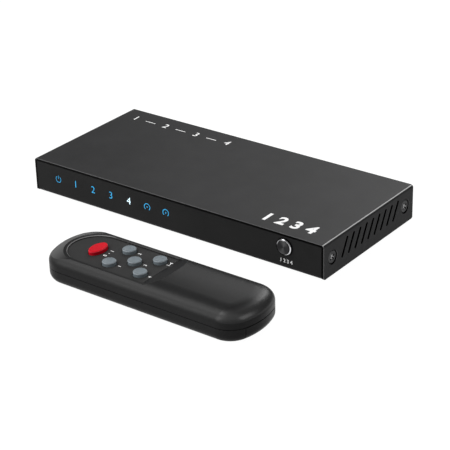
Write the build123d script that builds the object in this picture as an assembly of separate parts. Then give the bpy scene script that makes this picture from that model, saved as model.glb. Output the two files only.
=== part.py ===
from build123d import *
import math
import os

# A four-input video switch in a folded sheet-metal case, with its infrared handset in front of it.
# X runs along the front of the case, Y to its back, Z up from the plane that the feet stand on.
# The handset's pieces are made about its own middle, nose to the left, and then set in their place.

# Case
CASE_WIDTH = 150.0
CASE_DEPTH = 66.9
CASE_HEIGHT = 15.2
SHEET = 1.0
FOLD_RADIUS = 1.2
CORNER_RADIUS = 1.2
EDGE_ROUNDING = 0.25
SHEET_GAP = 0.15
FILM_THICKNESS = 0.2
FOOT_HEIGHT = 1.2
FOOT_RADIUS = 4.5
FOOT_INSET = 11.0
FOOT_ROUNDING = 0.3

# Side vents
VENT_COUNT = 9
VENT_PITCH = 4.76
VENT_WIDTH = 1.4
VENT_RISE = 8.0
VENT_LEAN = 27.6
VENT_HEIGHT = 8.6
VENT_CENTRE_Y = 0.5

# Cover screws and the tabs that take them
COVER_SCREW_INSET = 6.35
COVER_SCREW_HEIGHT = 7.7
SCREW_HEAD_RADIUS = 2.75
SCREW_SHANK_RADIUS = 1.45
SCREW_LENGTH = 6.0
SCREW_SINK = 0.3
SCREW_RIM_ROUNDING = 0.15
SCREW_CROSS_SPAN = 3.2
SCREW_CROSS_DEPTH = 0.6
SCREW_CROSS_TURN = 30.0
HOLE_GAP = 0.15
TAB_WIDTH = 10.0
TAB_RISE = 4.0
TAB_ROUNDING = 2.0

# Lamps and receiver behind the front film
LAMP_COUNT = 7
LAMP_PITCH = 9.83
LAMP_INSET = 13.3
LAMP_HEIGHT = 8.25
LAMP_RADIUS = 1.5
LAMP_WINDOW_RADIUS = 2.3
HOLDER_GAP = 0.3
HOLDER_DEPTH = 4.0
HOLDER_RISE = 2.4
HOLDER_MARGIN = 3.3
RECEIVER_SPACING = 16.7
RECEIVER_HEIGHT = 8.75
RECEIVER_WIDTH = 6.0
RECEIVER_DEPTH = 2.6
RECEIVER_RISE = 3.0
RECEIVER_SETBACK = 0.6
RECEIVER_LENS_RADIUS = 2.2
RECEIVER_WINDOW_RADIUS = 2.7

# Button, its bezel and its switch
BUTTON_INSET = 18.4
BUTTON_HEIGHT = 9.6
BUTTON_RADIUS = 3.0
BUTTON_STAND = 1.0
BUTTON_BEVEL = 0.2
BUTTON_TRAVEL = 0.5
DISH_RADIUS = 18.0
DISH_DEPTH = 0.15
BEZEL_FOOT_RADIUS = 3.85
BEZEL_FOOT_STAND = 0.25
BEZEL_CONE_RADIUS = 3.65
BEZEL_CONE_STAND = 0.55
BEZEL_RIM_RADIUS = 3.2
SLEEVE_RADIUS = 3.4
SLEEVE_OVERHANG = 0.4
STOP_LENGTH = 1.6
SLIDE_GAP = 0.08
PLUNGER_RADIUS = 1.75
PLUNGER_LENGTH = 1.2
PLUNGER_GRIP = 0.4
SWITCH_SIZE = 6.0
SWITCH_DEPTH = 3.6
SWITCH_END_GAP = 0.2

# Main board and its fixings
BOARD_THICKNESS = 1.6
BOARD_SIDE_GAP = 5.0
BOARD_FRONT_GAP = 3.0
BOARD_REAR_GAP = 1.5
BOARD_ROUNDING = 2.0
BOARD_HOLE_RADIUS = 1.6
BOARD_HOLE_SIDE_INSET = 9.0
BOARD_HOLE_FRONT_INSET = 8.45
BOARD_HOLE_REAR_INSET = 18.45
STANDOFF_HEIGHT = 3.0
STANDOFF_RADIUS = 2.6
STANDOFF_BORE_RADIUS = 1.3
STANDOFF_BASE = 0.4
BOARD_SCREW_HEAD_RADIUS = 2.4
BOARD_SCREW_HEAD_HEIGHT = 1.4
BOARD_SCREW_ROUNDING = 0.6
BOARD_SCREW_SHANK_RADIUS = 1.25
BOARD_SCREW_LENGTH = 4.0
BOARD_SCREW_CROSS_SPAN = 2.6
BOARD_SCREW_CROSS_DEPTH = 0.6

# Video sockets in the rear
INPUT_COUNT = 4
SOCKET_PITCH = 22.0
SOCKET_GROUP_SHIFT = -4.0
SOCKET_WIDTH = 15.0
SOCKET_HEIGHT = 5.6
SOCKET_DEPTH = 11.5
SOCKET_WALL = 0.4
SOCKET_BEVEL = 1.4
SOCKET_PROUD = 0.3
PANEL_GAP = 0.3
TONGUE_FIT = 0.02
TONGUE_BASE = 3.0
TONGUE_SIDE_GAP = 1.9
TONGUE_SETBACK = 0.9
TONGUE_THICKNESS = 1.1
TONGUE_BEVEL = 0.3

# Power socket in the rear
POWER_INSET = 12.0
POWER_BODY_WIDTH = 9.0
POWER_BODY_HEIGHT = 8.0
POWER_BODY_DEPTH = 13.0
POWER_BODY_GAP = 0.25
POWER_NOSE_RADIUS = 3.85
POWER_BORE_RADIUS = 3.15
POWER_BORE_DEPTH = 9.5
POWER_PIN_RADIUS = 1.0
POWER_PIN_SETBACK = 1.0

# Parts that stand on the main board
CHIP_SIZE = 14.0
CHIP_HEIGHT = 1.4
PAD_HEIGHT = 0.5
SINK_SIZE = 20.0
SINK_BASE = 1.5
SINK_FINS = 7
SINK_FIN_THICKNESS = 1.1
SINK_HEIGHT = 5.0
CONTROLLER_SIZE = 7.0
CONTROLLER_X = -28.0
CONTROLLER_Y = -8.0
SMALL_CHIP_HEIGHT = 0.9
PORT_CHIP_SIZE = 5.0
PORT_CHIP_REAR_INSET = 19.45
CRYSTAL_X = -18.0
CRYSTAL_Y = -12.0
CRYSTAL_WIDTH = 5.0
CRYSTAL_DEPTH = 3.2
CRYSTAL_HEIGHT = 1.1
REGULATOR_STEP = 7.0
REGULATOR_Y = -2.0
REGULATOR_WIDTH = 6.5
REGULATOR_DEPTH = 3.5
REGULATOR_HEIGHT = 1.7
INDUCTOR_STEP = 9.0
INDUCTOR_Y = 8.0
INDUCTOR_SIZE = 6.0
INDUCTOR_HEIGHT = 2.8
CAPACITOR_STEP = 19.0
CAPACITOR_PITCH_X = 8.0
CAPACITOR_PITCH_Y = 9.0
CAPACITOR_Y = -14.0
CAPACITOR_RADIUS = 2.5
CAPACITOR_HEIGHT = 5.4
CAPACITOR_ROUNDING = 0.4

# Handset outline and height
HANDSET_X = 28.97
HANDSET_GAP = 28.5
HANDSET_LENGTH = 97.6
HANDSET_WIDTH = 31.0
HANDSET_HEIGHT = 13.1
END_RADIUS = 28.4
HANDSET_CORNER = 9.75
SHOULDER_WIDTH = 8.0
SHOULDER_HEIGHT = 5.0
KEEL_RADIUS = 3.6
PARTING_HEIGHT = 6.05
PARTING_GAP = 0.25
PARTING_DEPTH = 0.5
SHELL_WALL = 1.6

# Handset key recess, the rim round it, the ramp at its end and the sloping nose
NOSE_LENGTH = 6.28
RECESS_LENGTH = 43.65
RIM_WIDTH = 4.17
RIM_HEIGHT = 11.9
RIM_BEVEL = 0.3
RECESS_FLOOR = 11.35
RAMP_REACH = 6.3
RAMP_SIDE_REACH = 5.0
NOSE_BAND = 1.6
NOSE_SLOPE = 16.0
PANEL_THICKNESS = 0.5
SHELF_THICKNESS = 0.5

# Handset keys
KEY_RADIUS = 2.75
KEY_STAND = 1.45
KEY_ROUNDING = 0.35
KEY_DISH_RADIUS = 9.0
KEY_DISH_DEPTH = 0.25
KEY_TRAVEL = 0.7
KEY_GAP = 0.25
KEY_FLANGE_WIDTH = 0.5
KEY_FLANGE_HEIGHT = 0.6
KEY_REST_GAP = 0.05
KEY_GROUP_INSET = 12.9
KEY_STEP_X = 7.65
KEY_STEP_Y = 6.1
POWER_KEY_STEP = 0.95
POWER_KEY_LENGTH = 9.5
POWER_KEY_WIDTH = 5.7
MAT_THICKNESS = 1.05
MAT_INSET = 1.2

# Handset board, battery drawer and screw
HANDSET_BOARD_THICKNESS = 0.8
HANDSET_BOARD_INSET = 2.5
HANDSET_BOARD_NOSE_GAP = 7.5
HANDSET_CHIP_STEP = 6.0
HANDSET_CHIP_WIDTH = 5.0
HANDSET_CHIP_DEPTH = 4.0
HANDSET_CHIP_HEIGHT = 1.2
DRAWER_WIDTH = 17.7
DRAWER_LENGTH = 25.0
DRAWER_FRONT_DEPTH = 4.6
DRAWER_GAP = 0.15
DRAWER_SEAM = 0.25
DRAWER_FLOOR = 0.7
DRAWER_HEADROOM = 0.9
CELL_RADIUS = 8.0
CELL_THICKNESS = 3.2
CELL_STEP = 0.3
CELL_CAP_INSET = 1.0
CELL_INSET = 14.0
CONTACT_THICKNESS = 0.2
CONTACT_WIDTH = 2.0
CONTACT_LENGTH = 4.0
CONTACT_SPACING = 6.0
CONTACT_GAP = 0.1
CASE_SCREW_SHARE = 0.43
BOSS_RADIUS = 2.6
BOSS_SKIRT = 0.6
CASE_SCREW_RADIUS = 0.95
CASE_SCREW_HEAD_RADIUS = 1.9
CASE_SCREW_HEAD_HEIGHT = 1.2
CASE_SCREW_SEAT = 2.4
CASE_SCREW_GRIP = 3.2
CASE_SCREW_CROSS_SPAN = 2.0

# Handset emitter and window in the nose
EMITTER_RADIUS = 1.5
EMITTER_TIP = 2.6
EMITTER_BACK = 7.3
WINDOW_WIDTH = 7.0
WINDOW_TOP = 9.0
WINDOW_DEPTH = 3.4
WINDOW_WALL = 1.5
WINDOW_HOLLOW = 5.0

# Places that follow from the sizes above
SIDE = CASE_WIDTH / 2
FRONT = -CASE_DEPTH / 2
REAR = CASE_DEPTH / 2
UNDERSIDE = FOOT_HEIGHT
TOP = UNDERSIDE + CASE_HEIGHT
FLOOR = UNDERSIDE + SHEET
CEILING = TOP - SHEET
TRAY_SIDE = SIDE - SHEET - SHEET_GAP
TRAY_FRONT = FRONT + FILM_THICKNESS
TRAY_BACK_OF_FRONT = TRAY_FRONT + SHEET
TRAY_TOP = CEILING - SHEET_GAP
COVER_SCREW_Z = UNDERSIDE + COVER_SCREW_HEIGHT
LAMP_Z = UNDERSIDE + LAMP_HEIGHT
LAMP_PLACES = [-SIDE + LAMP_INSET + LAMP_PITCH * i for i in range(LAMP_COUNT)]
LAMP_TIP = TRAY_FRONT + SHEET * 0.6
HOLDER_FRONT = TRAY_BACK_OF_FRONT + HOLDER_GAP
RECEIVER_X = LAMP_PLACES[-1] + RECEIVER_SPACING
RECEIVER_Z = UNDERSIDE + RECEIVER_HEIGHT
BUTTON_X = SIDE - BUTTON_INSET
BUTTON_Z = UNDERSIDE + BUTTON_HEIGHT
SLEEVE_END = TRAY_BACK_OF_FRONT + SLEEVE_OVERHANG
CAP_BACK = SLEEVE_END + STOP_LENGTH
SWITCH_FACE = CAP_BACK + PLUNGER_LENGTH
BOARD_BOTTOM = FLOOR + STANDOFF_HEIGHT
BOARD_TOP = BOARD_BOTTOM + BOARD_THICKNESS
BOARD_HOLES = [
    (side * (SIDE - BOARD_HOLE_SIDE_INSET), y)
    for side in (-1, 1)
    for y in (FRONT + BOARD_HOLE_FRONT_INSET, REAR - BOARD_HOLE_REAR_INSET)
]
SOCKET_PLACES = [SOCKET_GROUP_SHIFT + SOCKET_PITCH * (i - INPUT_COUNT / 2) for i in range(INPUT_COUNT + 1)]
INPUT_PLACES = SOCKET_PLACES[:INPUT_COUNT]
OUTPUT_PLACE = SOCKET_PLACES[INPUT_COUNT]
SOCKET_MIDDLE = BOARD_TOP + SOCKET_HEIGHT / 2
SOCKET_MOUTH = REAR + SOCKET_PROUD
POWER_X = SIDE - POWER_INSET
POWER_Z = BOARD_TOP + POWER_BODY_HEIGHT / 2
POWER_FRONT = REAR - SHEET - POWER_BODY_GAP

HALF_LENGTH = HANDSET_LENGTH / 2
HALF_WIDTH = HANDSET_WIDTH / 2
HANDSET_Y = FRONT - HANDSET_GAP - HALF_WIDTH
RECESS_RADIUS = HALF_WIDTH - RIM_WIDTH
RECESS_LEFT = -HALF_LENGTH + NOSE_LENGTH + RECESS_RADIUS
RECESS_RIGHT = -HALF_LENGTH + NOSE_LENGTH + RECESS_LENGTH
RAMP_END = RECESS_RIGHT + RAMP_REACH
PANEL_BOTTOM = RECESS_FLOOR - PANEL_THICKNESS
SHELF_BOTTOM = PANEL_BOTTOM - SHELF_THICKNESS
FLANGE_TOP = SHELF_BOTTOM - KEY_GAP
KEY_BOTTOM = FLANGE_TOP - KEY_FLANGE_HEIGHT
KEY_TOP = RECESS_FLOOR + KEY_STAND
MAT_TOP = KEY_BOTTOM - KEY_TRAVEL - KEY_REST_GAP
MAT_BOTTOM = MAT_TOP - MAT_THICKNESS
HANDSET_BOARD_TOP = MAT_BOTTOM
HANDSET_BOARD_BOTTOM = HANDSET_BOARD_TOP - HANDSET_BOARD_THICKNESS
KEY_MIDDLE = RECESS_RIGHT - KEY_GROUP_INSET
POWER_KEY_X = RECESS_LEFT + POWER_KEY_STEP
ROUND_KEYS = {
    "number_key_one": (KEY_MIDDLE - KEY_STEP_X, -KEY_STEP_Y),
    "number_key_two": (KEY_MIDDLE - KEY_STEP_X, KEY_STEP_Y),
    "number_key_three": (KEY_MIDDLE, 0),
    "number_key_four": (KEY_MIDDLE + KEY_STEP_X, -KEY_STEP_Y),
    "mode_key": (KEY_MIDDLE + KEY_STEP_X, KEY_STEP_Y),
}
KEY_NAMES = ["power_key"] + list(ROUND_KEYS)
DRAWER_INNER_END = HALF_LENGTH - DRAWER_LENGTH
DRAWER_BOTTOM = SHELL_WALL + DRAWER_GAP
CELL_X = HALF_LENGTH - CELL_INSET
CELL_BOTTOM = DRAWER_BOTTOM + DRAWER_FLOOR
CELL_TOP = CELL_BOTTOM + CELL_THICKNESS
CASE_SCREW_X = RAMP_END + CASE_SCREW_SHARE * (DRAWER_INNER_END - RAMP_END)


def block(x0, x1, y0, y1, z0, z1):
    """A box between two corners."""
    middle = Pos((x0 + x1) / 2, (y0 + y1) / 2, (z0 + z1) / 2)
    return middle * Box(x1 - x0, y1 - y0, z1 - z0)


def post(x, y, z0, z1, radius):
    """A round post that stands along Z."""
    return Pos(x, y, (z0 + z1) / 2) * Cylinder(radius, z1 - z0)


def rod(x, z, y0, y1, radius):
    """A round rod that lies along Y."""
    return Pos(x, (y0 + y1) / 2, z) * Rot(90, 0, 0) * Cylinder(radius, y1 - y0)


def bar(y, z, x0, x1, radius):
    """A round bar that lies along X."""
    return Pos((x0 + x1) / 2, y, z) * Rot(0, 90, 0) * Cylinder(radius, x1 - x0)


def prism(outline, z0, z1):
    """An outline drawn at Z = 0, raised between two heights."""
    return Pos(0, 0, z0) * extrude(outline, z1 - z0)


def cross_recess(span, depth):
    """Two crossed bars, as a cross-head driver leaves in a screw, half above the face."""
    return Box(span, span / 4, depth * 2) + Box(span / 4, span, depth * 2)


def save(name, *solids):
    """Writes one piece, or one set of alike pieces, under its name."""
    shape = solids[0] if len(solids) == 1 else Compound(children=list(solids))
    export_step(shape, f"parts/{name}.step")


# Top cover: one sheet folded down at both sides
def cover_screw_places():
    """The side and the Y of each cover screw."""
    return [(side, end * (REAR - COVER_SCREW_INSET)) for side in (-1, 1) for end in (-1, 1)]


def cover_outside():
    """The folded outline, with its front and rear edges softened by the paint."""
    outside = block(-SIDE, SIDE, FRONT, REAR, UNDERSIDE, TOP)
    outside = fillet(outside.edges().filter_by(Axis.Y).group_by(Axis.Z)[-1], FOLD_RADIUS)
    ends = outside.faces().sort_by(Axis.Y)
    edges = [edge for face in (ends[0], ends[-1]) for edge in face.edges() if edge.center().Z > FLOOR]
    return fillet(edges, EDGE_ROUNDING)


def cover_inside():
    inside = block(-SIDE + SHEET, SIDE - SHEET, FRONT * 2, REAR * 2, 0, CEILING)
    return fillet(inside.edges().filter_by(Axis.Y).group_by(Axis.Z)[-1], FOLD_RADIUS - SHEET)


def corner_waste(end):
    """What the round lower corners leave off at the front or the rear of both sides."""
    near, far = sorted((end * (REAR - CORNER_RADIUS), end * REAR * 2))
    corner = block(-SIDE * 2, SIDE * 2, near, far, -TOP, UNDERSIDE + CORNER_RADIUS)
    return corner - bar(end * (REAR - CORNER_RADIUS), UNDERSIDE + CORNER_RADIUS, -SIDE * 2, SIDE * 2,
                        CORNER_RADIUS)


def side_vents(side):
    """Slanted slots with round ends through one side of the cover."""
    through = SHEET * 4
    straight = VENT_RISE / math.cos(math.radians(VENT_LEAN)) - VENT_WIDTH
    slot = Box(through, VENT_WIDTH, straight)
    for end in (-1, 1):
        slot += Pos(0, 0, end * straight / 2) * Rot(0, 90, 0) * Cylinder(VENT_WIDTH / 2, through)
    slot = Rot(-VENT_LEAN, 0, 0) * slot
    slots = []
    for i in range(VENT_COUNT):
        y = VENT_CENTRE_Y + VENT_PITCH * (i - (VENT_COUNT - 1) / 2)
        slots.append(Pos(side * SIDE, y, UNDERSIDE + VENT_HEIGHT) * slot)
    return slots


def screw_cone(side, y, radius, depth, outer_x):
    """A cone that narrows inward from the side face of the case."""
    cone = Cone(radius - depth, radius, depth)
    turn = Rot(0, 90 * side, 0)
    return Pos(side * (outer_x - depth / 2), y, COVER_SCREW_Z) * turn * cone


def make_cover():
    cover = cover_outside() - cover_inside() - corner_waste(-1) - corner_waste(1)
    for side in (-1, 1):
        for slot in side_vents(side):
            cover -= slot
    for side, y in cover_screw_places():
        cover -= screw_cone(side, y, SCREW_HEAD_RADIUS + SCREW_SINK + HOLE_GAP, SHEET, SIDE)
    return cover


# Bottom tray: one sheet folded up at the front and the rear, with tabs for the cover screws
def tray_tabs():
    tabs = []
    for side, y in cover_screw_places():
        x0, x1 = sorted((side * TRAY_SIDE, side * (TRAY_SIDE - SHEET)))
        half = TAB_WIDTH / 2
        tab = block(x0, x1, y - half, y + half, UNDERSIDE + SHEET / 2, COVER_SCREW_Z + TAB_RISE)
        upper = tab.edges().filter_by(Axis.X).group_by(Axis.Z)[-1]
        tabs.append(fillet(upper, TAB_ROUNDING))
    return tabs


def socket_opening(x):
    half_width = SOCKET_WIDTH / 2 + PANEL_GAP
    half_height = SOCKET_HEIGHT / 2 + PANEL_GAP
    return block(x - half_width, x + half_width, REAR - SHEET * 2, REAR + SHEET,
                 SOCKET_MIDDLE - half_height, SOCKET_MIDDLE + half_height)


def front_hole(x, z, radius):
    return rod(x, z, TRAY_FRONT - SHEET, TRAY_FRONT + SHEET * 2, radius)


def make_tray():
    outer = block(-TRAY_SIDE, TRAY_SIDE, TRAY_FRONT, REAR, UNDERSIDE, TRAY_TOP)
    outer = fillet(outer.edges().filter_by(Axis.X).group_by(Axis.Z)[0], FOLD_RADIUS)
    inner = block(-SIDE, SIDE, TRAY_BACK_OF_FRONT, REAR - SHEET, FLOOR, TOP)
    inner = fillet(inner.edges().filter_by(Axis.X).group_by(Axis.Z)[0], FOLD_RADIUS - SHEET)
    tray = outer - inner
    for tab in tray_tabs():
        tray += tab
    for side, y in cover_screw_places():
        reach = sorted((side * (TRAY_SIDE - SHEET * 2), side * (TRAY_SIDE + SHEET)))
        tray -= bar(y, COVER_SCREW_Z, reach[0], reach[1], SCREW_SHANK_RADIUS + HOLE_GAP / 3)
    for x in LAMP_PLACES:
        tray -= front_hole(x, LAMP_Z, LAMP_WINDOW_RADIUS)
    tray -= front_hole(RECEIVER_X, RECEIVER_Z, RECEIVER_WINDOW_RADIUS)
    tray -= front_hole(BUTTON_X, BUTTON_Z, SLEEVE_RADIUS + HOLE_GAP / 3)
    for x in SOCKET_PLACES:
        tray -= socket_opening(x)
    return tray - rod(POWER_X, POWER_Z, REAR - SHEET * 2, REAR + SHEET, POWER_NOSE_RADIUS + PANEL_GAP)


def make_film():
    film = block(-TRAY_SIDE, TRAY_SIDE, FRONT, TRAY_FRONT, UNDERSIDE + FOLD_RADIUS + SHEET_GAP, TRAY_TOP)
    return film - front_hole(BUTTON_X, BUTTON_Z, SLEEVE_RADIUS + HOLE_GAP / 3)


def make_cover_screws():
    screws = []
    face = SIDE - SCREW_SINK
    for side, y in cover_screw_places():
        head = screw_cone(side, y, SCREW_HEAD_RADIUS, SHEET - SCREW_SINK, face)
        head = fillet(head.edges().sort_by(SortBy.LENGTH)[-1], SCREW_RIM_ROUNDING)
        ends = sorted((side * (SIDE - SHEET), side * (SIDE - SCREW_LENGTH)))
        shank = bar(y, COVER_SCREW_Z, ends[0], ends[1], SCREW_SHANK_RADIUS)
        turned = Pos(side * face, y, COVER_SCREW_Z) * Rot(0, 90, 0) * Rot(0, 0, SCREW_CROSS_TURN)
        screws.append(head + shank - turned * cross_recess(SCREW_CROSS_SPAN, SCREW_CROSS_DEPTH))
    return screws


def make_feet():
    feet = []
    for side in (-1, 1):
        for end in (-1, 1):
            foot = post(side * (SIDE - FOOT_INSET), end * (REAR - FOOT_INSET), 0, FOOT_HEIGHT, FOOT_RADIUS)
            feet.append(fillet(foot.edges().group_by(Axis.Z)[0], FOOT_ROUNDING))
    return feet


# Button in the front
def make_bezel():
    """A thin foot ring on the film, a cone that rises from it to the cap, and the sleeve behind."""
    foot_face = FRONT - BEZEL_FOOT_STAND
    foot = rod(BUTTON_X, BUTTON_Z, foot_face, FRONT, BEZEL_FOOT_RADIUS)
    cone = Cone(BEZEL_CONE_RADIUS, BEZEL_RIM_RADIUS, BEZEL_CONE_STAND)
    cone = Pos(BUTTON_X, foot_face - BEZEL_CONE_STAND / 2, BUTTON_Z) * Rot(90, 0, 0) * cone
    sleeve = rod(BUTTON_X, BUTTON_Z, FRONT, SLEEVE_END, SLEEVE_RADIUS)
    bore = rod(BUTTON_X, BUTTON_Z, FRONT * 2, REAR, BUTTON_RADIUS + SLIDE_GAP)
    return foot + cone + sleeve - bore


def make_button():
    """The cap, dished at its face, with the flange behind the sleeve that keeps it in."""
    face = FRONT - BUTTON_STAND
    cap = rod(BUTTON_X, BUTTON_Z, face, CAP_BACK, BUTTON_RADIUS)
    cap = chamfer(cap.edges().group_by(Axis.Y)[0], BUTTON_BEVEL)
    dish = Pos(BUTTON_X, face - DISH_RADIUS + DISH_DEPTH, BUTTON_Z) * Sphere(DISH_RADIUS)
    stop = rod(BUTTON_X, BUTTON_Z, SLEEVE_END + SLIDE_GAP, CAP_BACK, SLEEVE_RADIUS - SLIDE_GAP)
    return cap + stop - dish


def make_plunger():
    return rod(BUTTON_X, BUTTON_Z, CAP_BACK, SWITCH_FACE + PLUNGER_GRIP, PLUNGER_RADIUS)


def make_push_switch():
    half = SWITCH_SIZE / 2
    body = block(BUTTON_X - half, BUTTON_X + half, SWITCH_FACE, SWITCH_FACE + SWITCH_DEPTH,
                 BOARD_TOP, BUTTON_Z + half)
    well_end = SWITCH_FACE + PLUNGER_GRIP + BUTTON_TRAVEL + SWITCH_END_GAP
    return body - rod(BUTTON_X, BUTTON_Z, FRONT, well_end, PLUNGER_RADIUS + SLIDE_GAP)


# Lamps and receiver behind the front
def make_lamps():
    start = LAMP_TIP + LAMP_RADIUS
    lamps = []
    for x in LAMP_PLACES:
        body = rod(x, LAMP_Z, start, HOLDER_FRONT + HOLDER_DEPTH, LAMP_RADIUS)
        lamps.append(body + Pos(x, start, LAMP_Z) * Sphere(LAMP_RADIUS))
    return lamps


def make_lamp_holder():
    back = HOLDER_FRONT + HOLDER_DEPTH
    left = LAMP_PLACES[0] - HOLDER_MARGIN
    right = LAMP_PLACES[-1] + HOLDER_MARGIN
    holder = block(left, right, HOLDER_FRONT, back, BOARD_TOP, LAMP_Z + HOLDER_RISE)
    for x in LAMP_PLACES:
        holder -= rod(x, LAMP_Z, FRONT, back + HOLDER_DEPTH, LAMP_RADIUS + HOLE_GAP / 3)
    return holder


def make_receiver():
    front = HOLDER_FRONT + RECEIVER_SETBACK
    half = RECEIVER_WIDTH / 2
    body = block(RECEIVER_X - half, RECEIVER_X + half, front, front + RECEIVER_DEPTH,
                 BOARD_TOP, RECEIVER_Z + RECEIVER_RISE)
    lens = Pos(RECEIVER_X, front, RECEIVER_Z) * Sphere(RECEIVER_LENS_RADIUS)
    flat = block(-SIDE, SIDE, FRONT * 2, HOLDER_FRONT - RECEIVER_SETBACK, 0, TOP)
    return body + (lens - flat)


# Main board and its fixings
def make_board():
    side = SIDE - BOARD_SIDE_GAP
    board = block(-side, side, FRONT + BOARD_FRONT_GAP, REAR - BOARD_REAR_GAP, BOARD_BOTTOM, BOARD_TOP)
    board = fillet(board.edges().filter_by(Axis.Z), BOARD_ROUNDING)
    for x, y in BOARD_HOLES:
        board -= post(x, y, 0, TOP, BOARD_HOLE_RADIUS)
    return board


def make_standoffs():
    return [
        post(x, y, FLOOR, BOARD_BOTTOM, STANDOFF_RADIUS)
        - post(x, y, FLOOR + STANDOFF_BASE, BOARD_TOP, STANDOFF_BORE_RADIUS)
        for x, y in BOARD_HOLES
    ]


def make_board_screws():
    head_top = BOARD_TOP + BOARD_SCREW_HEAD_HEIGHT
    screws = []
    for x, y in BOARD_HOLES:
        head = post(x, y, BOARD_TOP, head_top, BOARD_SCREW_HEAD_RADIUS)
        head = fillet(head.edges().group_by(Axis.Z)[-1], BOARD_SCREW_ROUNDING)
        shank = post(x, y, BOARD_TOP - BOARD_SCREW_LENGTH, BOARD_TOP, BOARD_SCREW_SHANK_RADIUS)
        cross = Pos(x, y, head_top) * cross_recess(BOARD_SCREW_CROSS_SPAN, BOARD_SCREW_CROSS_DEPTH)
        screws.append(head + shank - cross)
    return screws


# Video sockets
def socket_block(x, inset, y0, y1):
    """A block with the bevelled lower corners of the socket's mouth."""
    half = SOCKET_WIDTH / 2 - inset
    shape = block(x - half, x + half, y0, y1, BOARD_TOP + inset, BOARD_TOP + SOCKET_HEIGHT - inset)
    lower = shape.edges().filter_by(Axis.Y).group_by(Axis.Z)[0]
    return chamfer(lower, SOCKET_BEVEL)


def make_socket_shell(x):
    back = SOCKET_MOUTH - SOCKET_DEPTH
    shell = socket_block(x, 0, back, SOCKET_MOUTH)
    return shell - socket_block(x, SOCKET_WALL, back + SOCKET_WALL, SOCKET_MOUTH + SOCKET_WALL)


def make_socket_tongue(x):
    back = SOCKET_MOUTH - SOCKET_DEPTH + SOCKET_WALL
    base = socket_block(x, SOCKET_WALL + TONGUE_FIT, back, back + TONGUE_BASE)
    half_width = SOCKET_WIDTH / 2 - TONGUE_SIDE_GAP
    half_height = TONGUE_THICKNESS / 2
    tongue = block(x - half_width, x + half_width, back + TONGUE_BASE, SOCKET_MOUTH - TONGUE_SETBACK,
                   SOCKET_MIDDLE - half_height, SOCKET_MIDDLE + half_height)
    front = tongue.edges().filter_by(Axis.X).group_by(Axis.Y)[-1]
    return base + chamfer(front, TONGUE_BEVEL)


# Power socket
def make_power_body():
    half = POWER_BODY_WIDTH / 2
    body = block(POWER_X - half, POWER_X + half, REAR - POWER_BODY_DEPTH, POWER_FRONT,
                 BOARD_TOP, BOARD_TOP + POWER_BODY_HEIGHT)
    body += rod(POWER_X, POWER_Z, POWER_FRONT, REAR, POWER_NOSE_RADIUS)
    return body - rod(POWER_X, POWER_Z, REAR - POWER_BORE_DEPTH, REAR + SHEET, POWER_BORE_RADIUS)


def make_power_pin():
    pin = rod(POWER_X, POWER_Z, REAR - POWER_BORE_DEPTH, REAR - POWER_PIN_SETBACK, POWER_PIN_RADIUS)
    return fillet(pin.edges().group_by(Axis.Y)[-1], POWER_PIN_RADIUS * 0.6)


# Parts that stand on the main board
def chip(x, y, width, depth, height, z=BOARD_TOP):
    """A flat packaged part that lies on a board."""
    return block(x - width / 2, x + width / 2, y - depth / 2, y + depth / 2, z, z + height)


def make_heat_sink():
    z0 = BOARD_TOP + CHIP_HEIGHT + PAD_HEIGHT
    sink = chip(0, 0, SINK_SIZE, SINK_SIZE, SINK_BASE, z0)
    for i in range(SINK_FINS):
        x = (SINK_SIZE - SINK_FIN_THICKNESS) * (i / (SINK_FINS - 1) - 0.5)
        sink += chip(x, 0, SINK_FIN_THICKNESS, SINK_SIZE, SINK_HEIGHT, z0)
    return sink


def make_port_chips():
    y = REAR - PORT_CHIP_REAR_INSET
    return [chip(x, y, PORT_CHIP_SIZE, PORT_CHIP_SIZE, SMALL_CHIP_HEIGHT) for x in INPUT_PLACES]


def make_capacitors():
    x = POWER_X - CAPACITOR_STEP
    places = [(x, CAPACITOR_Y), (x + CAPACITOR_PITCH_X, CAPACITOR_Y), (x, CAPACITOR_Y + CAPACITOR_PITCH_Y)]
    cans = [post(x, y, BOARD_TOP, BOARD_TOP + CAPACITOR_HEIGHT, CAPACITOR_RADIUS) for x, y in places]
    return [fillet(can.edges().group_by(Axis.Z)[-1], CAPACITOR_ROUNDING) for can in cans]


# Handset: two shells with an outline of two large end arcs, four corner arcs and two straight sides
def handset_plan(inset):
    """The outline seen from above, drawn in by an even margin."""
    end_x = HALF_LENGTH - END_RADIUS
    corner_y = HALF_WIDTH - HANDSET_CORNER
    corner_x = end_x + math.sqrt((END_RADIUS - HANDSET_CORNER) ** 2 - corner_y**2)
    turn = math.degrees(math.atan2(corner_y, corner_x - end_x))
    end = END_RADIUS - inset
    corner = HANDSET_CORNER - inset
    edge = HALF_WIDTH - inset
    lines = []
    for way in (0, 180):
        flip = Rot(0, 0, way)
        lines.append(flip * CenterArc((end_x, 0), end, -turn, 2 * turn))
        lines.append(flip * CenterArc((corner_x, corner_y), corner, turn, 90 - turn))
        lines.append(flip * CenterArc((corner_x, -corner_y), corner, -90, 90 - turn))
        lines.append(flip * Line((-corner_x, edge), (corner_x, edge)))
    return make_face(Curve(children=lines).edges())


def domed_block(inset, top, width, height):
    """A block on the handset's outline whose upper edge is a quarter ellipse."""
    plan = handset_plan(inset)
    path = plan.face().outer_wire()
    across = Plane(origin=path.position_at(0), x_dir=(0, 0, 1), z_dir=path.tangent_at(0))
    corner = Pos(top, 0) * Rectangle(height * 2, width * 2)
    corner -= Pos(top - height, -width) * Ellipse(height, width)
    return extrude(plan, top) - sweep(across * corner, path=path)


def keeled_block(inset, bottom, top, radius):
    """A block on the handset's outline whose lower edge is rounded."""
    shape = prism(handset_plan(inset), bottom, top)
    return fillet(shape.edges().group_by(Axis.Z)[0], radius)


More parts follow.
